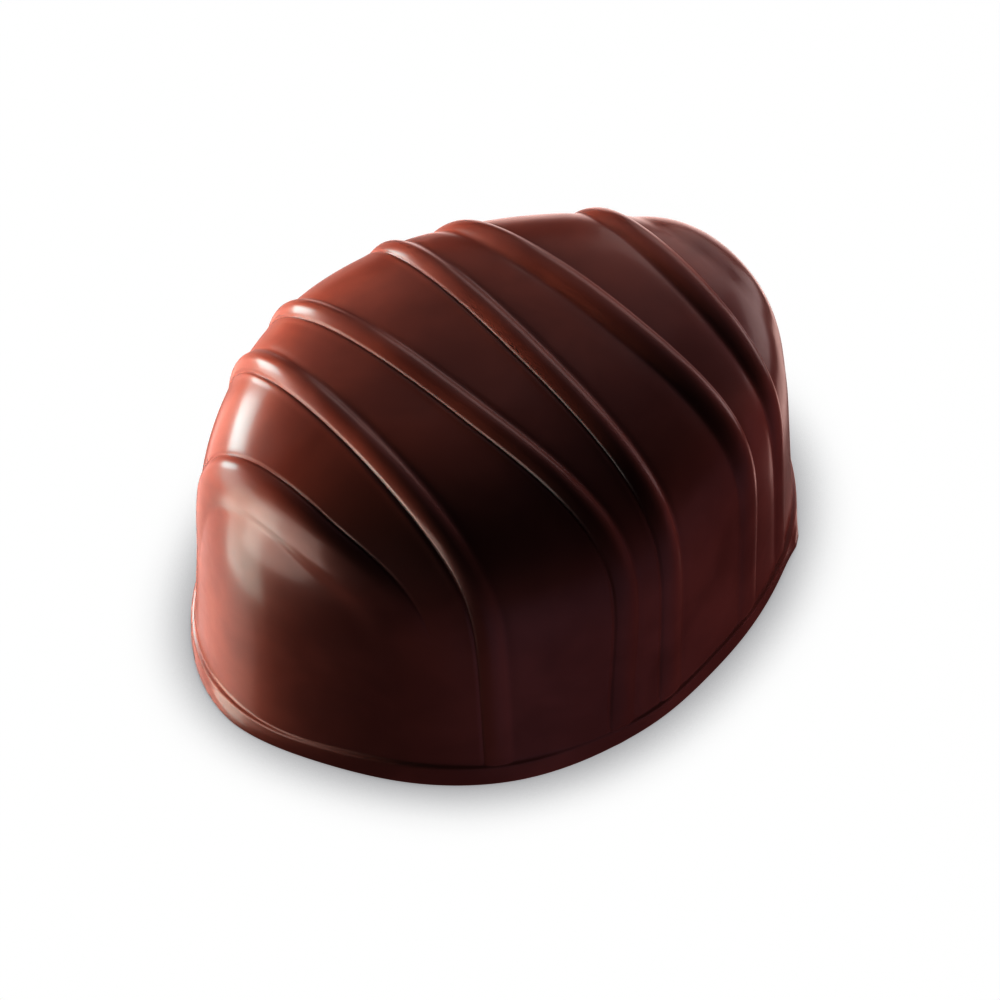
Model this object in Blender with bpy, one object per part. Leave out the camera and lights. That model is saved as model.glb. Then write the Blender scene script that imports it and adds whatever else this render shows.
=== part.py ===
"""A dark chocolate bonbon: an uneven oval dome with a thin foot and seven raised ribs across its top.

Metres, +Z up. The long side lies along X, the ribs run across it along Y, and the flat base is at Z = 0.
The origin is the middle of the base. The solid is one node, "bonbon".
"""

import math

import bmesh
import bpy
from mathutils import Vector

NAME = "bonbon"

# Dome, without the foot and the ribs.
LENGTH = 0.0350
WIDTH = 0.0271
HEIGHT = 0.0170
WALL_DRAFT = 0.058  # how much narrower the dome is at its top than at its base
TOP_LEAN = -0.045  # the top falls towards +X by this share of the height over half the length
EGG = -0.026  # how much wider the +X end is than the middle; below 0, so the -X end is the wide one
EGG_REACH = 1.1  # the egg shape stops changing this far out, in half lengths

# The section of the dome is (reach ^ crown power) + (height ^ wall power) = 1.
CROWN_POWER = 2.4
WALL_POWER = 8.4
END_CROWN_POWER = 3.6  # the same at the -X end, whose top is flatter and whose wall slopes more
END_WALL_POWER = 7.0

# Soft waves that make the oval outline uneven: count round the outline, depth, turn in degrees.
OUTLINE_WAVES = ((3, 0.0150, 14.0), (4, 0.0100, -6.0), (5, 0.0105, 26.0))

# Foot: the thin flange where the coating gathered round the base.
FOOT_OUTSET = 0.00022
FOOT_OUTSET_SWING = 0.00008  # more of it at the +X end and less at the -X end
FOOT_HEIGHT = 0.0016
FOOT_ROUNDING = 0.00012
FOOT_ROUNDING_STEPS = 2
FOOT_SEGMENTS = 96

# Ribs: beads that cross the dome from foot to foot, tilted one way and then the other.
RIB_WIDTH = 0.00175
RIB_RISE = 0.00045
RIB_PLACES = (-0.0143, -0.0093, -0.0040, 0.0013, 0.0065, 0.0116, 0.0165)  # along X, at the middle
RIB_TILTS = (-0.12, 0.0, -0.13, 0.01, -0.11, 0.03, -0.14)  # drift along X for each metre of Y
RIB_POINTS = 49
RIB_END_HEIGHT = 0.0010
RIB_END_TAPER = 0.6  # radius at a rib's two ends, against the rest of it, so that they sink into the foot
RIB_BEVEL_RESOLUTION = 4

# Mesh.
DOME_SEGMENTS = 104
DOME_RINGS = 48  # from pole to pole of the ball that the dome is shaped from
DOME_BASE = 0.0004  # the dome starts this far up inside the foot
SEARCH_STEPS = 40
NORMAL_STEP = 1e-5
WELD = 1e-6

CHOCOLATE = (0.055, 0.016, 0.010, 1.0)
CHOCOLATE_ROUGHNESS = 0.32
SHARP_ANGLE = 40.0  # degrees: edges that turn more than this stay crisp in the shading


def clear_scene():
    """Removes every object of the scene."""
    for old in list(bpy.data.objects):
        bpy.data.objects.remove(old, do_unlink=True)


def chocolate():
    """The one material: tempered dark chocolate."""
    material = bpy.data.materials.new("dark_chocolate")
    material.use_nodes = True
    shader = material.node_tree.nodes["Principled BSDF"]
    shader.inputs["Base Color"].default_value = CHOCOLATE
    shader.inputs["Roughness"].default_value = CHOCOLATE_ROUGHNESS
    shader.inputs["Metallic"].default_value = 0.0
    return material


def outline_wave(angle):
    """The unevenness of the oval outline at a plan angle, as a factor near 1."""
    factor = 1.0
    for count, depth, turn in OUTLINE_WAVES:
        factor += depth * math.cos(count * (angle - math.radians(turn)))
    return factor


def egg_width(along):
    """The half width at a share of the half length, as a factor near 1."""
    return 1.0 + EGG * max(-EGG_REACH, min(EGG_REACH, along))


def outside(point):
    """Below 0 inside the dome, 0 on its surface and above 0 outside it."""
    level = point.z / HEIGHT
    taper = 1.0 - WALL_DRAFT * level
    along = point.x / (LENGTH / 2 * taper)
    across = point.y / (WIDTH / 2 * taper * egg_width(along))
    angle = math.atan2(across, along)
    reach = math.hypot(across, along) / outline_wave(angle)
    at_end = max(0.0, -math.cos(angle)) ** 2
    crown_power = CROWN_POWER + (END_CROWN_POWER - CROWN_POWER) * at_end
    wall_power = WALL_POWER + (END_WALL_POWER - WALL_POWER) * at_end
    lean = 1.0 + TOP_LEAN * reach * math.cos(angle)
    return reach**crown_power + max(0.0, level / lean) ** wall_power - 1.0


def on_surface(start, direction):
    """The point of the dome's surface on a ray from a point inside it."""
    near, far = 0.0, 2.0 * LENGTH
    for _ in range(SEARCH_STEPS):
        middle = (near + far) / 2
        if outside(start + direction * middle) < 0.0:
            near = middle
        else:
            far = middle
    return start + direction * near


def surface_normal(point):
    """The outward normal of the dome at a point of its surface."""
    slopes = []
    for axis in range(3):
        step = Vector((0.0, 0.0, 0.0))
        step[axis] = NORMAL_STEP
        slopes.append(outside(point + step) - outside(point - step))
    return Vector(slopes).normalized()


def foot_point(angle):
    """A point of the foot's outline at a plan angle."""
    outset = FOOT_OUTSET + FOOT_OUTSET_SWING * math.cos(angle)
    factor = outline_wave(angle)
    along = factor * math.cos(angle)
    half_width = (WIDTH / 2 + outset) * egg_width(along)
    return (LENGTH / 2 + outset) * along, half_width * factor * math.sin(angle)


def add_object(mesh_builder, name, collection):
    """A mesh object made from a bmesh, linked to a collection."""
    mesh = bpy.data.meshes.new(name)
    mesh_builder.to_mesh(mesh)
    mesh_builder.free()
    made = bpy.data.objects.new(name, mesh)
    collection.objects.link(made)
    return made


def make_dome(collection):
    """The upper half of a ball, pushed out to the dome's surface and closed below."""
    builder = bmesh.new()
    bmesh.ops.create_uvsphere(builder, u_segments=DOME_SEGMENTS, v_segments=DOME_RINGS, radius=1.0)
    everything = builder.verts[:] + builder.edges[:] + builder.faces[:]
    bmesh.ops.bisect_plane(
        builder, geom=everything, plane_co=(0, 0, 0), plane_no=(0, 0, 1), clear_inner=True
    )
    rim = [edge for edge in builder.edges if edge.is_boundary]
    bmesh.ops.contextual_create(builder, geom=rim)
    start = Vector((0.0, 0.0, DOME_BASE))
    half_size = Vector((LENGTH / 2, WIDTH / 2, HEIGHT))
    for vertex in builder.verts:
        vertex.co = on_surface(start, (vertex.co * half_size).normalized())
    return add_object(builder, NAME, collection)


def make_foot(collection):
    """The flange: a low oval disc with its upper edge rounded."""
    builder = bmesh.new()
    bmesh.ops.create_cone(
        builder, cap_ends=True, segments=FOOT_SEGMENTS, radius1=1.0, radius2=1.0, depth=FOOT_HEIGHT
    )
    for vertex in builder.verts:
        angle = math.atan2(vertex.co.y, vertex.co.x)
        vertex.co.x, vertex.co.y = foot_point(angle)
        vertex.co.z += FOOT_HEIGHT / 2
    top_edges = [
        edge for edge in builder.edges if all(end.co.z > FOOT_HEIGHT / 2 for end in edge.verts)
    ]
    bmesh.ops.bevel(
        builder,
        geom=top_edges,
        offset=FOOT_ROUNDING,
        segments=FOOT_ROUNDING_STEPS,
        profile=0.5,
        affect="EDGES",
        material=-1,
    )
    return add_object(builder, "foot", collection)


def rib_line(place, tilt):
    """The points of one rib's centre line, foot to foot, with the surface normal at each."""
    start = Vector((place, 0.0, RIB_END_HEIGHT))
    line = []
    for step in range(RIB_POINTS):
        sweep = math.pi * step / (RIB_POINTS - 1)
        side = -math.cos(sweep) * WIDTH / 2
        rise = math.sin(sweep) * HEIGHT
        point = on_surface(start, Vector((tilt * side, side, rise)).normalized())
        line.append((point, surface_normal(point)))
    return line


def make_rib(number, place, tilt, collection):
    """A bead with a round section, sunk so that only its crown stands out of the dome."""
    radius = ((RIB_WIDTH / 2) ** 2 + RIB_RISE**2) / (2 * RIB_RISE)
    line = rib_line(place, tilt)
    curve = bpy.data.curves.new(f"rib_{number}", "CURVE")
    curve.dimensions = "3D"
    curve.bevel_depth = radius
    curve.bevel_resolution = RIB_BEVEL_RESOLUTION
    curve.use_fill_caps = True
    spline = curve.splines.new("POLY")
    spline.points.add(len(line) - 1)
    for index, (point, normal) in enumerate(line):
        sunk = point - normal * (radius - RIB_RISE)
        spline.points[index].co = (*sunk, 1.0)
        is_end = index in (0, len(line) - 1)
        spline.points[index].radius = RIB_END_TAPER if is_end else 1.0
    drawn = bpy.data.objects.new(f"rib_curve_{number}", curve)
    bpy.context.scene.collection.objects.link(drawn)
    bpy.context.view_layer.update()
    graph = bpy.context.evaluated_depsgraph_get()
    mesh = bpy.data.meshes.new_from_object(drawn.evaluated_get(graph))
    builder = bmesh.new()
    builder.from_mesh(mesh)
    bmesh.ops.remove_doubles(builder, verts=builder.verts[:], dist=WELD)
    bmesh.ops.recalc_face_normals(builder, faces=builder.faces[:])
    rib = add_object(builder, f"rib_{number}", collection)
    rib.matrix_world = drawn.matrix_world
    bpy.data.objects.remove(drawn, do_unlink=True)
    bpy.data.meshes.remove(mesh)
    bpy.data.curves.remove(curve)
    return rib


def join(body, added):
    """Fuses a collection of solids onto a body, applies it and removes the collection's objects."""
    union = body.modifiers.new("union", "BOOLEAN")
    union.operation = "UNION"
    union.operand_type = "COLLECTION"
    union.collection = added
    union.solver = "EXACT"
    bpy.context.view_layer.update()
    graph = bpy.context.evaluated_depsgraph_get()
    fused = bpy.data.meshes.new_from_object(body.evaluated_get(graph))
    body.modifiers.remove(union)
    body.data = fused
    fused.name = NAME
    for old in list(added.objects):
        bpy.data.objects.remove(old, do_unlink=True)
    bpy.data.collections.remove(added)


def centre_on_base(body):
    """Moves the mesh so that the origin is the middle of its base."""
    for axis in (0, 1):
        places = [vertex.co[axis] for vertex in body.data.vertices]
        middle = (min(places) + max(places)) / 2
        for vertex in body.data.vertices:
            vertex.co[axis] -= middle


def main():
    """Builds the bonbon."""
    clear_scene()
    pieces = bpy.data.collections.new(NAME)
    added = bpy.data.collections.new("foot_and_ribs")
    bpy.context.scene.collection.children.link(pieces)
    bpy.context.scene.collection.children.link(added)
    body = make_dome(pieces)
    make_foot(added)
    for number, (place, tilt) in enumerate(zip(RIB_PLACES, RIB_TILTS), start=1):
        make_rib(number, place, tilt, added)
    join(body, added)
    centre_on_base(body)
    body.data.materials.clear()
    body.data.materials.append(chocolate())
    body.data.shade_smooth()
    body.data.set_sharp_from_angle(angle=math.radians(SHARP_ANGLE))


if __name__ == "__main__":
    main()
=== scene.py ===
"""A dark chocolate bonbon, dressed: an uneven oval dome with drawn ribs and a thin foot, on a pale floor.

Everything is in metres with +Z up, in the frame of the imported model. The bonbon's own surface is worked
out as a grid that follows the ribs, so that each crease runs along a row of edges.
"""

from __future__ import annotations

import logging
import math
from dataclasses import dataclass, field
from enum import Enum

import bmesh
import bpy
import numpy as np
from mathutils import Matrix, Vector

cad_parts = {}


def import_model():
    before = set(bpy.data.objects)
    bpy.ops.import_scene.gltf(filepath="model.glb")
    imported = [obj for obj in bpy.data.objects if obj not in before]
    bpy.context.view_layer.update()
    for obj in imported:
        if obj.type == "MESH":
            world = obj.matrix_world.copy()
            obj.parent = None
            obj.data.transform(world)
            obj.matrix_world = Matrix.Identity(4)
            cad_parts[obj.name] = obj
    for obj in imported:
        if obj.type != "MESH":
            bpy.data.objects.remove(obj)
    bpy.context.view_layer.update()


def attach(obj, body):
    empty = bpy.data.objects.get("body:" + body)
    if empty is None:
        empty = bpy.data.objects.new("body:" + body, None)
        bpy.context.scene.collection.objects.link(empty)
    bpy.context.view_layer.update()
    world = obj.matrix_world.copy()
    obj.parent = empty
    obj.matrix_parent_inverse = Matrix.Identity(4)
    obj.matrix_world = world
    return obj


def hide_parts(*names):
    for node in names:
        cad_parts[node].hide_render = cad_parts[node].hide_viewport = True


LOG = logging.getLogger("bonbon")
MM = 0.001
TAU = 2.0 * math.pi


class Node(Enum):
    """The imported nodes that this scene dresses."""

    BONBON = "bonbon"


class Slot(Enum):
    """The record's material slots."""

    DARK_CHOCOLATE = "dark_chocolate"


class Side(Enum):
    """The two ends of the bonbon, as signs along X."""

    LEFT = -1
    RIGHT = 1


# --------------------------------------------------------------------------------------------------------
# Shader building
# --------------------------------------------------------------------------------------------------------


class Signal:
    """A number that changes over a surface: the output socket of a node, open to Python's operators."""

    def __init__(self, tree: "Shader", socket: bpy.types.NodeSocket) -> None:
        """Wraps a socket.

        Args:
            tree: the shader that the socket belongs to.
            socket: the output socket.
        """
        self.tree = tree
        self.socket = socket

    def _math(self, operation: str, *values: "Signal | float") -> "Signal":
        """Adds a Math node.

        Args:
            operation: the Math node's operation.
            values: its inputs, in order.

        Returns:
            The node's result.
        """
        return self.tree.node("ShaderNodeMath", {"operation": operation}, dict(enumerate(values)))

    def __add__(self, other: "Signal | float") -> "Signal":
        """The sum."""
        return self._math("ADD", self, other)

    def __radd__(self, other: float) -> "Signal":
        """The sum, with the number first."""
        return self._math("ADD", other, self)

    def __sub__(self, other: "Signal | float") -> "Signal":
        """The difference."""
        return self._math("SUBTRACT", self, other)

    def __rsub__(self, other: float) -> "Signal":
        """The difference, with the number first."""
        return self._math("SUBTRACT", other, self)

    def __mul__(self, other: "Signal | float") -> "Signal":
        """The product."""
        return self._math("MULTIPLY", self, other)

    def __rmul__(self, other: float) -> "Signal":
        """The product, with the number first."""
        return self._math("MULTIPLY", other, self)

    def ramp(self, low: float, high: float) -> "Signal":
        """A smooth step.

        Args:
            low: where the step starts from 0.
            high: where it reaches 1.

        Returns:
            The step, between 0 and 1.
        """
        settings = {"interpolation_type": "SMOOTHSTEP", "clamp": True}
        return self.tree.node(
            "ShaderNodeMapRange", settings, {"Value": self, "From Min": low, "From Max": high}
        )


class Shader:
    """A material's node tree, with one method that adds any node."""

    def __init__(self, name: str) -> None:
        """Makes the material.

        Args:
            name: the material's name.
        """
        self.material = bpy.data.materials.new(name)
        self.material.use_nodes = True
        self.nodes = self.material.node_tree.nodes
        self.links = self.material.node_tree.links
        self.surface = self.nodes["Principled BSDF"]

    def set(self, node: bpy.types.Node, inputs: dict) -> None:
        """Sets or links a node's inputs.

        Args:
            node: the node.
            inputs: socket name or number to a value or a signal.
        """
        for key, value in inputs.items():
            if isinstance(value, Signal):
                self.links.new(value.socket, node.inputs[key])
            else:
                node.inputs[key].default_value = value

    def node(self, kind: str, settings: dict, inputs: dict, output: str | int = 0) -> Signal:
        """Adds any node.

        Args:
            kind: the node's type.
            settings: the node's own settings, set before its inputs.
            inputs: socket name or number to a value or a signal.
            output: which output to hand back.

        Returns:
            That output.
        """
        made = self.nodes.new(kind)
        for key, value in settings.items():
            setattr(made, key, value)
        self.set(made, inputs)
        return Signal(self, made.outputs[output])

    def mix_colour(self, factor: Signal, first: tuple | Signal, second: tuple | Signal) -> Signal:
        """Mixes two colours.

        Args:
            factor: 0 for the first and 1 for the second.
            first: a colour or a signal.
            second: a colour or a signal.

        Returns:
            The mixed colour.
        """
        colours = {0: factor, 6: first, 7: second}
        return self.node("ShaderNodeMix", {"data_type": "RGBA"}, colours, 2)

    def noise(self, size: float, detail: float, roughness: float, lean: float = 0.0) -> Signal:
        """Smooth noise on Object coordinates.

        Args:
            size: the width of a patch, in metres.
            detail: how many finer layers it has.
            roughness: how strong the finer layers are.
            lean: how much the patches are warped.

        Returns:
            The noise, about 0.5 on average.
        """
        place = self.node("ShaderNodeTexCoord", {}, {}, "Object")
        values = {
            "Vector": place,
            "Scale": 1.0 / size,
            "Detail": detail,
            "Roughness": roughness,
            "Distortion": lean,
        }
        return self.node("ShaderNodeTexNoise", {"noise_dimensions": "3D"}, values)


@dataclass(frozen=True)
class ChocolateFinish:
    """Tempered dark chocolate: a satin body with a thin gloss over it."""

    name: str = Slot.DARK_CHOCOLATE.value
    deep: tuple = (0.145, 0.0355, 0.0210, 1.0)
    warm: tuple = (0.195, 0.0525, 0.0315, 1.0)
    patch: float = 6.0 * MM  # width of the patches of deep and warm
    patch_edges: tuple = (0.35, 0.68)  # the noise below which a patch is deep and above which it is warm
    roughness: float = 0.32
    roughness_swing: float = 0.08
    smear: float = 1.6 * MM  # width of the rougher and smoother smears
    coat: float = 0.25
    coat_roughness: float = 0.14
    ior: float = 1.46
    gloss: float = 0.35
    ripple: float = 2.4 * MM
    ripple_height: float = 0.006 * MM
    grain: float = 0.22 * MM
    grain_height: float = 0.0007 * MM
    noise_middle: float = 0.5  # what the noise is on average

    def build(self) -> bpy.types.Material:
        """Makes the material.

        Returns:
            The material.
        """
        shader = Shader(self.name)
        patches = shader.noise(self.patch, detail=3.0, roughness=0.5, lean=0.3).ramp(*self.patch_edges)
        smears = shader.noise(self.smear, detail=4.0, roughness=0.6, lean=0.5)
        ripples = shader.noise(self.ripple, detail=2.0, roughness=0.4)
        grain = shader.noise(self.grain, detail=2.0, roughness=0.5)
        colour = shader.mix_colour(patches, self.deep, self.warm)
        swing = self.roughness_swing / self.noise_middle
        rough = self.roughness + (smears - self.noise_middle) * swing
        height = ripples * self.ripple_height + grain * self.grain_height
        bump = shader.node(
            "ShaderNodeBump", {}, {"Strength": 1.0, "Distance": 1.0, "Height": height}, "Normal"
        )
        shader.set(
            shader.surface,
            {
                "Base Color": colour,
                "Roughness": rough,
                "Normal": bump,
                "IOR": self.ior,
                "Specular IOR Level": self.gloss,
                "Coat Weight": self.coat,
                "Coat Roughness": self.coat_roughness,
            },
        )
        return shader.material


# --------------------------------------------------------------------------------------------------------
# The form of the bonbon
# --------------------------------------------------------------------------------------------------------


def unit(vectors: np.ndarray) -> np.ndarray:
    """Vectors made one long, along their last axis."""
    return vectors / np.linalg.norm(vectors, axis=-1, keepdims=True)


def smooth(share: np.ndarray) -> np.ndarray:
    """A smooth step from 0 to 1."""
    held = np.clip(share, 0.0, 1.0)
    return held * held * (3.0 - 2.0 * held)


@dataclass(frozen=True)
class Dome:
    """The plain dome under the ribs, as a closed surface that rays from inside can be shot at."""

    length: float = 35.0 * MM
    width: float = 27.1 * MM
    height: float = 17.0 * MM
    wall_draft: float = 0.058  # share of the length and width lost from the base to the top
    top_lean: float = -0.045  # how much higher the top is at the right end, as a share
    egg: float = -0.026  # how much wider it is at the right end, as a share
    egg_reach: float = 1.1
    crown_power: float = 2.4  # higher for a flatter top
    wall_power: float = 8.4  # higher for a straighter wall with a tighter shoulder
    end_crown_power: float = 3.6  # the same two at the left end
    end_wall_power: float = 7.0
    # Each wave round the outline: count, depth as a share, turn in degrees.
    waves: tuple = ((3, 0.0150, 14.0), (4, 0.0100, -6.0), (5, 0.0105, 26.0))
    search_steps: int = 30
    normal_step: float = 0.01 * MM

    def wave(self, angle: np.ndarray) -> np.ndarray:
        """The unevenness of the oval outline.

        Args:
            angle: plan angles.

        Returns:
            A factor near 1 at each angle.
        """
        factor = np.ones_like(angle)
        for count, depth, turn in self.waves:
            factor = factor + depth * np.cos(count * (angle - math.radians(turn)))
        return factor

    def outside(self, points: np.ndarray) -> np.ndarray:
        """Says which side of the surface points are on.

        Args:
            points: places, one to a row.

        Returns:
            Numbers below 0 inside the dome and above 0 outside it.
        """
        level = points[..., 2] / self.height
        taper = 1.0 - self.wall_draft * level
        along = points[..., 0] / (self.length / 2 * taper)
        egg_width = 1.0 + self.egg * np.clip(along, -self.egg_reach, self.egg_reach)
        across = points[..., 1] / (self.width / 2 * taper * egg_width)
        angle = np.arctan2(across, along)
        reach = np.hypot(across, along) / self.wave(angle)
        at_end = np.maximum(0.0, -np.cos(angle)) ** 2
        crown = self.crown_power + (self.end_crown_power - self.crown_power) * at_end
        wall = self.wall_power + (self.end_wall_power - self.wall_power) * at_end
        lean = 1.0 + self.top_lean * reach * np.cos(angle)
        return reach**crown + np.maximum(0.0, level / lean) ** wall - 1.0

    def hit(self, start: np.ndarray, direction: np.ndarray) -> np.ndarray:
        """Shoots rays from inside the dome at its surface.

        Args:
            start: where the rays start.
            direction: where they go, of any length.

        Returns:
            The points where they meet the surface.
        """
        direction = unit(direction)
        near = np.zeros(direction.shape[:-1])
        far = np.full(direction.shape[:-1], 2.0 * self.length)
        for _ in range(self.search_steps):
            middle = (near + far) / 2
            inside = self.outside(start + direction * middle[..., None]) < 0.0
            near = np.where(inside, middle, near)
            far = np.where(inside, far, middle)
        return start + direction * near[..., None]

    def normal(self, points: np.ndarray) -> np.ndarray:
        """The directions straight out of the surface.

        Args:
            points: points of the surface.

        Returns:
            The outward normal at each.
        """
        slopes = []
        for axis in range(3):
            step = np.zeros(3)
            step[axis] = self.normal_step
            slopes.append(self.outside(points + step) - self.outside(points - step))
        return unit(np.stack(slopes, axis=-1))


@dataclass(frozen=True)
class Rib:
    """One bead drawn across the dome, in a steep plane that leans along X as it goes back.

    place is where it crosses the middle, tilt its drift along X for each metre of Y, and knee and heel how
    far it swings along X from that plane at its front shoulder and at its front foot. One of its flanks
    meets the dome in a crisp crease, which can have a low lip beyond it, and the other runs out softly.
    """

    place: float
    tilt: float
    knee: float = 0.0
    knee_sweep: float = 0.22  # where the knee is, and how far the swing reaches to either side of it
    heel: float = 0.0
    heel_sweep: float = 0.20  # how far up from the foot the heel's swing reaches
    creased: Side = Side.LEFT
    crisp_half: float = 0.80 * MM
    soft_half: float = 0.75 * MM
    soft_power: float = 1.1  # above 1 for a flank that runs out more softly
    rise: float = 0.32 * MM
    front_share: float = 1.0  # how much of its height is left at the front, against the back
    front_sweep: float = 0.15  # where it starts to gain on that, and over how much of the sweep
    front_blend: float = 0.45
    wall_share: float = 0.55  # how much of its height is left on the walls
    wall_top: float = 0.35  # how far up the arc the wall reaches, 1 being the middle of the top
    wall_blend: float = 0.45
    lip: float = 0.050 * MM
    lip_reach: float = 0.60 * MM
    lip_rise: float = 0.22 * MM
    groove: float = 0.060 * MM
    groove_half: float = 0.12 * MM
    hollow: float = 0.030 * MM
    hollow_place: float = 1.1  # in soft halves out from the line
    hollow_half: float = 0.28  # in soft halves
    pulse: float = 0.05  # how much the height swells and shrinks along it, as a share
    pulse_count: float = 2.3
    pulse_shift: float = 9.0 * MM  # ribs this far apart swell in step

    def sway(self, sweep: np.ndarray) -> np.ndarray:
        """How far the line is off its plane, along X.

        Args:
            sweep: 0 at the front foot to 1 at the back foot.

        Returns:
            The distance.
        """
        at_knee = smooth(1.0 - np.abs(sweep - self.knee_sweep) / self.knee_sweep)
        return self.knee * at_knee + self.heel * smooth(1.0 - sweep / self.heel_sweep)

    def height(self, distance: np.ndarray, sweep: np.ndarray) -> np.ndarray:
        """The bead's height over the dome.

        Args:
            distance: how far a point is from the bead's line, along the surface, above 0 towards +X.
            sweep: 0 at the front foot to 1 at the back foot.

        Returns:
            The height, a little below 0 in the hollow beside the soft flank.
        """
        swell = 1.0 + self.pulse * np.sin(TAU * (sweep * self.pulse_count + self.place / self.pulse_shift))
        on_top = smooth((np.sin(math.pi * sweep) - self.wall_top) / self.wall_blend)
        at_back = smooth((sweep - self.front_sweep) / self.front_blend)
        lengthwise = self.front_share + (1.0 - self.front_share) * at_back
        strength = swell * lengthwise * (self.wall_share + (1.0 - self.wall_share) * on_top)
        out = distance * self.creased.value
        crisp = np.clip(out / self.crisp_half, 0.0, 1.0)
        soft = np.clip(-out / self.soft_half, 0.0, 1.0)
        bead = np.where(out > 0.0, 1.0 - crisp**2, (1.0 - soft**2) ** self.soft_power)
        past = out - self.crisp_half
        rising = smooth(past / self.lip_rise)
        lip = np.where(past < 0.0, 0.0, smooth(1.0 - past / self.lip_reach) * rising)
        groove = np.clip(1.0 - np.abs(past) / self.groove_half, 0.0, 1.0)
        from_hollow = -out / self.soft_half - self.hollow_place
        hollow = np.exp(-((from_hollow / self.hollow_half) ** 2))
        return strength * (
            self.rise * bead + self.lip * lip - self.groove * groove - self.hollow * hollow
        )


@dataclass
class Foot:
    """The uneven flange where the coating gathered round the base."""

    # Each wave round the outline: count, depth, turn in degrees.
    level: float = 1.40 * MM
    level_waves: tuple = (
        (1, 0.10 * MM, -60.0),
        (2, 0.16 * MM, 35.0),
        (5, 0.10 * MM, 10.0),
        (9, 0.06 * MM, 50.0),
    )
    outset: float = 0.19 * MM
    outset_waves: tuple = (
        (2, 0.06 * MM, -25.0),
        (3, 0.03 * MM, 80.0),
        (7, 0.03 * MM, 15.0),
        (12, 0.02 * MM, 0.0),
    )
    # Low runs of coating that point outwards: how far, at which plan angle and half how wide, in degrees.
    runs: tuple = ((0.34 * MM, -33.0, 3.6), (0.24 * MM, 180.0, 12.0))
    run_power: float = 1.5  # higher for a blunter tip
    # Down the flange: share of the outset, drop from the flange's top edge.
    shoulder: tuple = (
        (0.05, 0.03 * MM),
        (0.16, 0.07 * MM),
        (0.36, 0.11 * MM),
        (0.62, 0.15 * MM),
        (0.84, 0.20 * MM),
        (0.96, 0.27 * MM),
        (1.00, 0.36 * MM),
    )
    # The rest, down to the floor: share of the outset, share of the flange's height.
    skirt: tuple = ((1.02, 0.60), (1.03, 0.40), (1.02, 0.22), (0.96, 0.10), (0.80, 0.03), (0.45, 0.0))

    @staticmethod
    def _wavy(base: float, waves: tuple, angle: np.ndarray) -> np.ndarray:
        """A size that changes round the outline.

        Args:
            base: the size on average.
            waves: count round the outline, depth and turn in degrees of each wave.
            angle: plan angles.

        Returns:
            The size at each angle.
        """
        size = np.full_like(angle, base)
        for count, depth, turn in waves:
            size = size + depth * np.cos(count * (angle - math.radians(turn)))
        return size

    def top(self, angle: np.ndarray) -> np.ndarray:
        """The height of the flange at plan angles."""
        return self._wavy(self.level, self.level_waves, angle)

    def reach(self, angle: np.ndarray) -> np.ndarray:
        """How far the flange stands out at plan angles."""
        return self._wavy(self.outset, self.outset_waves, angle)

    def run(self, angle: np.ndarray) -> np.ndarray:
        """How far the low runs stand out further, at the floor.

        Args:
            angle: plan angles.

        Returns:
            The distance at each angle.
        """
        total = np.zeros_like(angle)
        for out, place, half in self.runs:
            off = (np.degrees(angle) - place + 180.0) % 360.0 - 180.0
            total = total + out * np.exp(-(np.abs(off / half) ** self.run_power))
        return total


RIBS = (
    Rib(
        -14.3 * MM,
        -0.12,
        knee=1.0 * MM,
        heel=0.5 * MM,
        creased=Side.RIGHT,
        soft_half=2.4 * MM,
        rise=0.38 * MM,
        lip=0.0,
        groove=0.09 * MM,
        wall_share=0.0,
        wall_top=0.60,
        wall_blend=0.39,
        hollow=0.0,
    ),
    Rib(-9.3 * MM, 0.0),
    Rib(-4.0 * MM, -0.13, knee=0.37 * MM, heel=-0.32 * MM),
    Rib(1.3 * MM, 0.01, heel=-0.35 * MM),
    Rib(
        6.5 * MM,
        -0.11,
        knee=0.20 * MM,
        heel=-0.20 * MM,
        creased=Side.RIGHT,
        soft_half=1.05 * MM,
        lip=0.0,
        groove=0.0,
        hollow=0.05 * MM,
    ),
    Rib(11.95 * MM, 0.03, creased=Side.RIGHT, soft_half=1.05 * MM, lip=0.0, groove=0.0, hollow=0.05 * MM),
    Rib(
        16.1 * MM,
        -0.14,
        creased=Side.RIGHT,
        crisp_half=1.9 * MM,
        soft_half=2.2 * MM,
        rise=0.42 * MM,
        front_share=0.15,
        wall_share=0.9,
        lip=0.0,
        groove=0.0,
        hollow=0.0,
    ),
)


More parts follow.
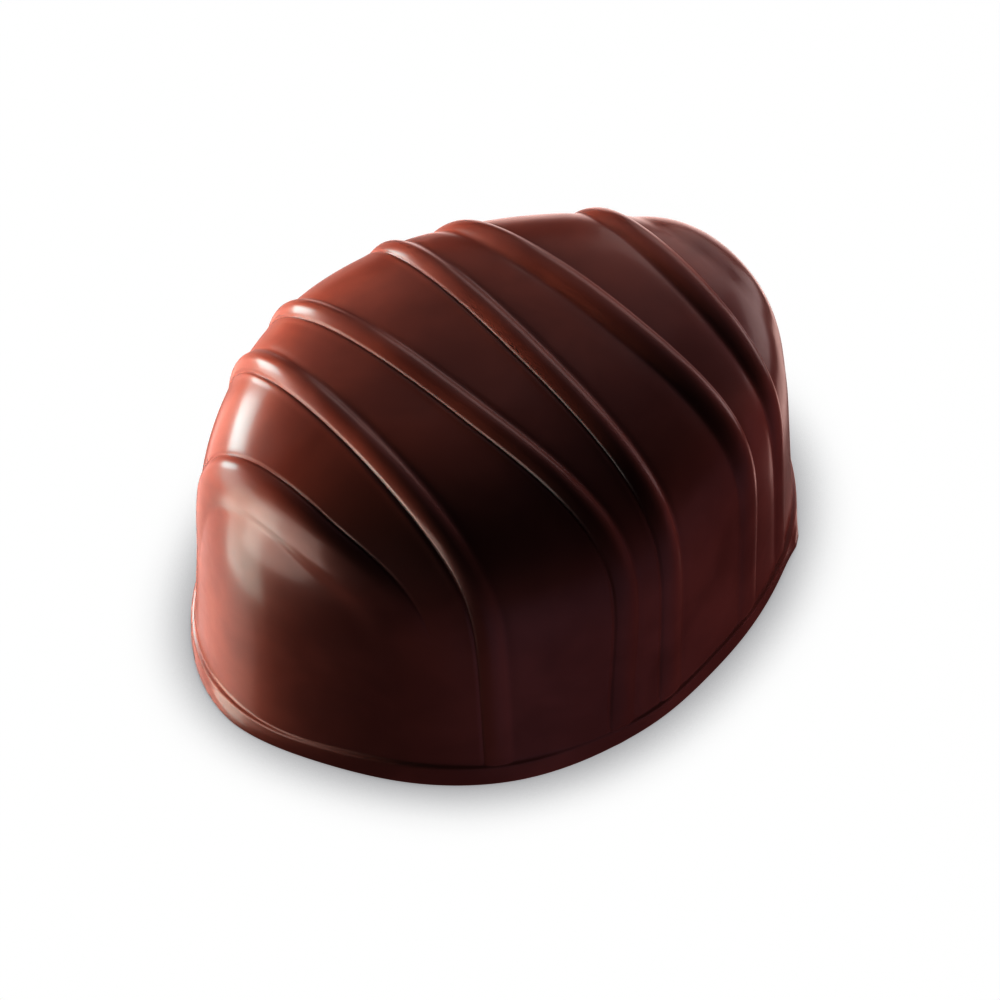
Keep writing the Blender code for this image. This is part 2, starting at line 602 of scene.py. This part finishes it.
@dataclass
class Bonbon:
    """The whole bonbon: its dome, ribs and foot, as one closed mesh."""

    dome: Dome = field(default_factory=Dome)
    foot: Foot = field(default_factory=Foot)
    ribs: tuple = RIBS
    finish: ChocolateFinish = field(default_factory=ChocolateFinish)
    middle: tuple = (-0.144 * MM, 0.048 * MM)  # from the dome's own axes to the frame's
    base_line: float = 1.0 * MM  # height of the grid's rim before it follows the foot
    # Columns over a rib, from its soft side to past its crease: each group's start, end and count.
    rib_groups: tuple = (
        (-1.40 * MM, -0.90 * MM, 4),
        (-0.90 * MM, 0.60 * MM, 10),
        (0.60 * MM, 0.90 * MM, 8),
        (0.90 * MM, 1.40 * MM, 4),
    )
    gap_columns: int = 7
    left_fan: int = 64
    right_fan: int = 22
    left_corner: float = -16.7 * MM
    right_corner: float = 17.50 * MM
    corner_gap: float = 0.25 * MM  # the least distance from the last upright column to that corner
    fan_depth: float = 1.3 * MM
    fan_samples: int = 400
    rows: int = 250
    line_samples: int = 700
    # The share of a step over the surface that goes along X, squared, is held above these on the end walls.
    least_column_slope: float = 0.05
    least_relief_slope: float = 0.02
    rim_pull: float = 5.0 * MM  # how far up the wall the rim's change of height fades out
    rib_sink: float = 0.45  # how much of a rib's height is lost where it runs into the foot
    rib_sink_reach: float = 1.6 * MM
    swell: float = 0.030 * MM
    # Each wave of the swell: direction, length, turn in radians.
    swell_waves: tuple = (
        ((0.61, 0.35, 0.71), 7.1 * MM, 0.4),
        ((-0.48, 0.79, 0.38), 9.7 * MM, 1.9),
        ((0.83, -0.52, 0.20), 5.3 * MM, 3.1),
        ((0.12, 0.66, -0.74), 6.2 * MM, 5.0),
    )

    # ---- the grid's columns ----

    def _plane(self, rib: Rib) -> np.ndarray:
        """The direction across a rib's plane."""
        return unit(np.array([1.0, -rib.tilt, 0.0]))

    def _rib_columns(self, rib: Rib) -> list[np.ndarray]:
        """The columns over one rib, which keep their distance from its line along the surface.

        Args:
            rib: the rib.

        Returns:
            Where the rays of each start along X, at each sweep.
        """
        sweep = np.linspace(0.0, 1.0, self.line_samples)
        middle = np.full(self.line_samples, rib.place) + rib.sway(sweep)
        plane = self._plane(rib)
        facing = self.dome.normal(self._line(middle, rib.tilt, 0.0, 0)[:, :3]) @ plane
        stretch = np.sqrt(np.maximum(1.0 - facing**2, self.least_column_slope)) / plane[0]
        offsets = [self.rib_groups[0][0]]
        for low, high, count in self.rib_groups:
            offsets += list(np.linspace(low, high, count + 1)[1:])
        return [middle + offset * stretch for offset in np.sort(np.array(offsets) * rib.creased.value)]

    def _columns(self) -> list[tuple[np.ndarray, float]]:
        """The upright columns between the two fans.

        Returns:
            Where the rays of each start along X at each sweep, with its tilt.
        """
        columns: list[tuple[np.ndarray, float]] = []
        for number, rib in enumerate(self.ribs):
            over = [(place, rib.tilt) for place in self._rib_columns(rib)]
            if number > 0:
                last, last_tilt = columns[-1]
                for share in np.linspace(0.0, 1.0, self.gap_columns + 1)[1:-1]:
                    between = last * (1.0 - share) + over[0][0] * share
                    columns.append((between, last_tilt * (1.0 - share) + rib.tilt * share))
            columns += over
        middle = self.line_samples // 2
        return [item for item in columns if item[0][middle] < self.right_corner - self.corner_gap]

    def _line(self, place: np.ndarray | float, tilt: float, lean: float, side: int) -> np.ndarray:
        """One column of the grid, from the front rim over the top to the back rim.

        Args:
            place: where its rays start along X, at each sweep.
            tilt: its drift along X for each metre of Y.
            lean: 0 for an upright column, to a quarter turn for one that lies along the rim.
            side: -1 where it leans towards -X and 1 towards +X.

        Returns:
            Points on the dome, one to a row, with the sweep of each as a fourth number.
        """
        sweep = np.linspace(0.0, 1.0, self.line_samples)
        turn = math.pi * sweep
        side_step = -np.cos(turn) * self.dome.width / 2
        up = np.sin(turn) * self.dome.height * math.cos(lean)
        out = np.sin(turn) * self.fan_depth * math.sin(lean) * side
        start = np.zeros((self.line_samples, 3))
        start[:, 0] = place
        start[:, 2] = self.base_line
        direction = np.stack([tilt * side_step + out, side_step, up], axis=-1)
        return np.column_stack([self.dome.hit(start, direction), sweep])

    def _fan(
        self, side: Side, place: np.ndarray, tilt: float, corner: float, count: int
    ) -> list[np.ndarray]:
        """The columns that close one end, from the last upright one down to the rim.

        Args:
            side: which end.
            place: where the rays of the last upright column start along X, at each sweep.
            tilt: that column's tilt.
            corner: where the rim's own column starts, along X.
            count: how many columns.

        Returns:
            The columns, from the upright one outwards.
        """
        trial = np.linspace(0.0, 1.0, self.fan_samples)
        start = np.zeros((self.fan_samples, 3))
        crossing = place[self.line_samples // 2]
        start[:, 0] = crossing + (corner - crossing) * trial
        start[:, 2] = self.base_line
        lean = trial * math.pi / 2
        out = np.sin(lean) * self.fan_depth * side.value
        up = np.cos(lean) * self.dome.height
        down = self.dome.hit(start, np.stack([out, np.zeros_like(lean), up], axis=-1))
        travelled = np.concatenate([[0.0], np.cumsum(np.linalg.norm(np.diff(down, axis=0), axis=1))])
        shares = np.interp(np.linspace(0.0, travelled[-1], count + 1)[1:], travelled, trial)
        return [
            self._line(
                place + (corner - place) * share, tilt * (1.0 - share), share * math.pi / 2, side.value
            )
            for share in shares
        ]

    # ---- the grid ----

    def _even(self, line: np.ndarray) -> np.ndarray:
        """A column's points spread evenly along it.

        Args:
            line: the column's points and sweeps.

        Returns:
            As many points as the grid has rows.
        """
        steps = np.linalg.norm(np.diff(line[:, :3], axis=0), axis=1)
        travelled = np.concatenate([[0.0], np.cumsum(steps)])
        wanted = np.linspace(0.0, travelled[-1], self.rows)
        return np.stack([np.interp(wanted, travelled, line[:, k]) for k in range(4)], axis=-1)

    def _grid(self) -> np.ndarray:
        """The dome's points, column by column, with the sweep of each.

        Returns:
            An array of columns by rows by four.
        """
        columns = self._columns()
        lines = self._fan(Side.LEFT, *columns[0], self.left_corner, self.left_fan)[::-1]
        lines += [self._line(place, tilt, 0.0, 0) for place, tilt in columns]
        lines += self._fan(Side.RIGHT, *columns[-1], self.right_corner, self.right_fan)
        return np.stack([self._even(line) for line in lines])

    def _follow_foot(self, points: np.ndarray) -> np.ndarray:
        """Moves the lower wall up or down along the dome, so that the rim runs along the foot's top.

        Args:
            points: the dome's points.

        Returns:
            The moved points.
        """
        angle = np.arctan2(points[..., 1], points[..., 0])
        change = self.foot.top(angle) - self.base_line
        fade = smooth(1.0 - (points[..., 2] - self.base_line) / self.rim_pull)
        start = np.zeros_like(points)
        start[..., 2] = points[..., 2] + change * fade
        direction = points.copy()
        direction[..., 2] = 0.0
        moved = self.dome.hit(start, direction)
        return np.where((fade > 0.0)[..., None], moved, points)

    def _relief(self, points: np.ndarray, sweep: np.ndarray, normals: np.ndarray) -> np.ndarray:
        """The height of the coating over the dome: the ribs and a slow swell.

        Args:
            points: the dome's points.
            sweep: the sweep of each.
            normals: the dome's normals there.

        Returns:
            The heights.
        """
        height = np.zeros_like(sweep)
        for rib in self.ribs:
            plane = self._plane(rib)
            off = points[..., 0] - rib.place - rib.sway(sweep) - rib.tilt * points[..., 1]
            facing = (normals * plane).sum(-1)
            slope = np.maximum(1.0 - facing**2, self.least_relief_slope)
            distance = off * plane[0] / np.sqrt(slope)
            height = height + rib.height(distance, sweep)
        over_foot = points[..., 2] - self.foot.top(np.arctan2(points[..., 1], points[..., 0]))
        sunk = 1.0 - self.rib_sink * smooth(1.0 - over_foot / self.rib_sink_reach)
        return height * sunk + self._swell(points)

    def _swell(self, points: np.ndarray) -> np.ndarray:
        """The slow unevenness of the coating.

        Args:
            points: the dome's points.

        Returns:
            The height that it adds at each, above or below 0.
        """
        total = np.zeros(points.shape[:-1])
        for direction, length, turn in self.swell_waves:
            total = total + np.sin(points @ np.array(direction) / length * TAU + turn)
        return total * self.swell / len(self.swell_waves)

    # ---- the mesh ----

    def _spread(self, builder: bmesh.types.BMesh, points: np.ndarray) -> dict:
        """Starts the mesh as a flat grid and lays it over the dome.

        Args:
            builder: the mesh being built.
            points: where the grid's points go, columns by rows by three.

        Returns:
            The column and row of each corner of the mesh.
        """
        columns, rows = points.shape[:2]
        bmesh.ops.create_grid(builder, x_segments=columns - 1, y_segments=rows - 1, size=1.0)
        cells = {}
        for vertex in builder.verts:
            column = round((vertex.co.x + 1.0) / 2.0 * (columns - 1))
            row = round((vertex.co.y + 1.0) / 2.0 * (rows - 1))
            vertex.co = points[column, row]
            cells[vertex] = (column, row)
        return cells

    def _skirt(
        self, builder: bmesh.types.BMesh, cells: dict, bare: np.ndarray, relief: np.ndarray
    ) -> None:
        """Draws the rim out and down into the foot, ring by ring, and closes the base.

        Args:
            builder: the mesh being built.
            cells: the column and row of each corner of the grid.
            bare: the dome's points without their relief.
            relief: the height of the coating at each.
        """
        edges = [edge for edge in builder.edges if edge.is_boundary]
        rim = {vertex for edge in edges for vertex in edge.verts}
        places = {tuple(vertex.co): number for number, vertex in enumerate(rim)}
        start = np.array([bare[cells[vertex]] for vertex in rim])
        bead = np.array([relief[cells[vertex]] for vertex in rim])
        angle = np.arctan2(start[:, 1], start[:, 0])
        outward = self.dome.normal(start)
        outward[:, 2] = 0.0
        outward = unit(outward)
        reach = self.foot.reach(angle)
        run = self.foot.run(angle)
        rings = [(share, start[:, 2] - drop, 0.0) for share, drop in self.foot.shoulder]
        rings += [(share, start[:, 2] * level, 1.0 - level) for share, level in self.foot.skirt]
        for share, level, low in rings:
            made = bmesh.ops.extrude_edge_only(builder, edges=edges)["geom"]
            edges = [item for item in made if isinstance(item, bmesh.types.BMEdge) and item.is_boundary]
            out = np.maximum(bead * max(0.0, 1.0 - share), reach * share) + run * low
            ring = start + outward * out[:, None]
            ring[:, 2] = level
            moved = {}
            for vertex in (item for item in made if isinstance(item, bmesh.types.BMVert)):
                number = places[tuple(vertex.co)]
                vertex.co = ring[number]
                moved[tuple(vertex.co)] = number
            places = moved
        bmesh.ops.contextual_create(builder, geom=edges)

    def build(self) -> bpy.types.Object:
        """Makes the bonbon.

        Returns:
            The finished object.
        """
        grid = self._grid()
        sweep = grid[..., 3]
        bare = self._follow_foot(grid[..., :3])
        normals = self.dome.normal(bare)
        relief = self._relief(bare, sweep, normals)
        builder = bmesh.new()
        cells = self._spread(builder, bare + normals * relief[..., None])
        self._skirt(builder, cells, bare, relief)
        bmesh.ops.recalc_face_normals(builder, faces=builder.faces[:])
        bmesh.ops.translate(builder, vec=Vector((*self.middle, 0.0)), verts=builder.verts[:])
        mesh = bpy.data.meshes.new("chocolate_bonbon")
        builder.to_mesh(mesh)
        builder.free()
        made = bpy.data.objects.new("chocolate_bonbon", mesh)
        bpy.context.scene.collection.objects.link(made)
        mesh.shade_smooth()
        mesh.materials.append(self.finish.build())
        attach(made, "root")
        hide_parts(Node.BONBON.value)
        return made


# --------------------------------------------------------------------------------------------------------
# The studio
# --------------------------------------------------------------------------------------------------------


class Part(Enum):
    """What a lamp is there for."""

    LIGHT = "light"  # lights the chocolate and isn't mirrored in it
    MIRRORED = "mirrored"  # is mirrored in the chocolate and nothing more


def heading(azimuth: float, elevation: float) -> Vector:
    """A direction away from the bonbon.

    Args:
        azimuth: 0 behind the bonbon (+Y) and 90 at its right (+X), in degrees.
        elevation: degrees above level.

    Returns:
        The direction, one long.
    """
    turn, rise = math.radians(azimuth), math.radians(elevation)
    return Vector((math.sin(turn) * math.cos(rise), math.cos(turn) * math.cos(rise), math.sin(rise)))


@dataclass(frozen=True)
class Softbox:
    """A rectangular lamp that faces the bonbon; its sizes are degrees as seen from there."""

    name: str
    part: Part
    azimuth: float
    elevation: float
    wide: float
    tall: float
    glow: float  # brightness of its face, in watts for each square metre and steradian
    colour: tuple = (1.0, 1.0, 1.0)
    distance: float = 0.40

    def build(self, aim: Vector) -> bpy.types.Object:
        """Makes the lamp.

        Args:
            aim: what it faces.

        Returns:
            The lamp.
        """
        lamp = bpy.data.lights.new(self.name, "AREA")
        lamp.shape = "RECTANGLE"
        lamp.size = 2.0 * self.distance * math.tan(math.radians(self.wide / 2))
        lamp.size_y = 2.0 * self.distance * math.tan(math.radians(self.tall / 2))
        lamp.energy = self.glow * math.pi * lamp.size * lamp.size_y
        lamp.color = self.colour
        made = bpy.data.objects.new(self.name, lamp)
        away = heading(self.azimuth, self.elevation)
        made.location = aim + away * self.distance
        made.rotation_euler = away.to_track_quat("Z", "Y").to_euler()
        made.visible_camera = False
        made.visible_diffuse = self.part is not Part.MIRRORED
        made.visible_glossy = self.part is not Part.LIGHT
        bpy.context.scene.collection.objects.link(made)
        return made


@dataclass
class Studio:
    """The pale floor, the lamps and the camera."""

    aim: tuple = (-0.1439 * MM, 0.0479 * MM, 7.65 * MM)
    azimuth: float = -142.182  # of the camera, as seen from the bonbon
    elevation: float = 49.524
    distance: float = 320.85 * MM
    lens: float = 217.98  # focal length and sensor width, in mm
    sensor: float = 36.0
    clip: tuple = (0.01, 10.0)  # nearest and farthest that the camera sees, in metres
    roll: float = 0.263
    aim_right: float = 0.009 * MM  # how far the middle of the picture is from aim
    aim_up: float = -1.667 * MM
    floor_half: float = 1.2
    floor_white: tuple = (1.0, 1.0, 1.0, 1.0)
    # painted shade: the colour the floor's glow darkens to where the bonbon blocks its open sky
    painted_floor_shade: tuple = (0.50, 0.50, 0.51, 1.0)
    shade_reach: float = 4.0 * MM
    shade_full: float = 0.4  # the share of open sky at which the shade is full
    shade_samples: int = 16
    world: tuple = (0.010, 0.010, 0.016, 1.0)
    world_strength: float = 1.0
    contrast: float = 0.64  # below 1 for deeper shadows
    lamps: tuple = (
        Softbox("window", Part.LIGHT, -34.0, 6.0, 28.0, 28.0, 64.0, (0.92, 1.0, 1.0), distance=0.10),
        Softbox("window_low", Part.LIGHT, -30.0, -25.0, 28.0, 28.0, 3.0),
        Softbox("left", Part.LIGHT, -70.0, 0.0, 28.0, 28.0, 3.2),
        Softbox("back", Part.LIGHT, 16.0, 13.0, 28.0, 28.0, 8.5),
        Softbox("top", Part.LIGHT, 60.0, 40.0, 40.0, 40.0, 1.4, (1.0, 1.0, 1.4)),
        Softbox("side", Part.LIGHT, 84.0, 10.0, 28.0, 30.0, 10.0, (1.0, 1.0, 1.2), distance=0.12),
        Softbox("side_sheen", Part.MIRRORED, 84.0, -4.0, 24.0, 22.0, 2.0, distance=0.12),
        Softbox("side_front", Part.LIGHT, 115.0, -16.0, 40.0, 28.0, 3.0, (1.0, 1.0, 1.5)),
        Softbox("front_fill", Part.LIGHT, 178.0, -32.0, 60.0, 40.0, 2.7, (1.0, 1.0, 1.5)),
        Softbox("end_sheen", Part.MIRRORED, 58.0, 10.0, 26.0, 24.0, 1.5),
        Softbox("left_sheen", Part.MIRRORED, -78.0, 6.0, 36.0, 50.0, 6.0, (0.95, 1.0, 0.95)),
        Softbox("cap_sheen", Part.MIRRORED, -60.0, -8.0, 28.0, 58.0, 6.0, (0.7, 1.1, 1.05)),
        Softbox("window_sheen", Part.MIRRORED, -35.0, 5.0, 24.0, 28.0, 3.0, (0.7, 1.1, 1.1)),
        Softbox("strip", Part.MIRRORED, -12.0, 10.0, 22.0, 22.0, 14.0, (0.5, 1.0, 1.05)),
        Softbox("low_sheen", Part.MIRRORED, -26.0, -34.0, 56.0, 42.0, 1.1),
        Softbox("sky_sheen", Part.MIRRORED, 22.0, 34.0, 70.0, 40.0, 0.45),
        Softbox("back_sheen", Part.MIRRORED, 30.0, -24.0, 50.0, 34.0, 0.6),
        Softbox("rim_back_sheen", Part.MIRRORED, 48.0, -26.0, 26.0, 28.0, 1.6, (1.0, 0.8, 0.75)),
        Softbox("rim_sheen", Part.MIRRORED, 72.0, -39.0, 24.0, 14.0, 1.6, (1.0, 0.8, 0.75)),
    )

    def _camera(self) -> None:
        """Makes the camera and puts it in use."""
        back = heading(self.azimuth, self.elevation)
        right = Vector((0.0, 0.0, 1.0)).cross(back).normalized()
        up = back.cross(right)
        place = Vector(self.aim) + right * self.aim_right + up * self.aim_up + back * self.distance
        lens = bpy.data.cameras.new("camera")
        lens.lens = self.lens
        lens.sensor_width = self.sensor
        lens.clip_start, lens.clip_end = self.clip
        camera = bpy.data.objects.new("camera", lens)
        bpy.context.scene.collection.objects.link(camera)
        turn = math.radians(self.roll)
        side = right * math.cos(turn) - up * math.sin(turn)
        axes = Matrix((side, back.cross(side), back)).transposed().to_4x4()
        camera.matrix_world = Matrix.Translation(place) @ axes
        bpy.context.scene.camera = camera

    def _floor(self) -> None:
        """Makes the pale floor: it glows white, with a painted shade round the bonbon's base."""
        builder = bmesh.new()
        bmesh.ops.create_grid(builder, x_segments=1, y_segments=1, size=self.floor_half)
        mesh = bpy.data.meshes.new("floor")
        builder.to_mesh(mesh)
        builder.free()
        floor = bpy.data.objects.new("floor", mesh)
        bpy.context.scene.collection.objects.link(floor)
        floor.visible_glossy = False
        floor.visible_diffuse = False
        floor.visible_shadow = False
        shader = Shader("pale_floor")
        settings = {"samples": self.shade_samples}
        reach = {"Distance": self.shade_reach}
        # painted shade: the floor's white glow darkens near the bonbon, where the bonbon blocks the open
        # sky
        open_share = shader.node("ShaderNodeAmbientOcclusion", settings, reach, "AO")
        open_floor = open_share.ramp(self.shade_full, 1.0)
        shader.set(
            shader.surface,
            {
                "Base Color": (0.0, 0.0, 0.0, 1.0),
                "Specular IOR Level": 0.0,
                "Emission Color": shader.mix_colour(open_floor, self.painted_floor_shade, self.floor_white),
                "Emission Strength": 1.0,
            },
        )
        mesh.materials.append(shader.material)

    def build(self) -> None:
        """Makes the whole studio."""
        self._camera()
        self._floor()
        for lamp in self.lamps:
            lamp.build(Vector(self.aim))
        world = bpy.data.worlds.new("studio")
        world.use_nodes = True
        background = world.node_tree.nodes["Background"]
        background.inputs["Color"].default_value = self.world
        background.inputs["Strength"].default_value = self.world_strength
        bpy.context.scene.world = world
        bpy.context.scene.view_settings.view_transform = "Standard"
        bpy.context.scene.view_settings.gamma = self.contrast


def main() -> None:
    """Loads the frame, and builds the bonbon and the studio."""
    logging.basicConfig(level=logging.INFO, format="%(message)s")
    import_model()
    Studio().build()
    piece = Bonbon().build()
    LOG.info("%s: %d faces", piece.name, len(piece.data.polygons))


if __name__ == "__main__":
    main()
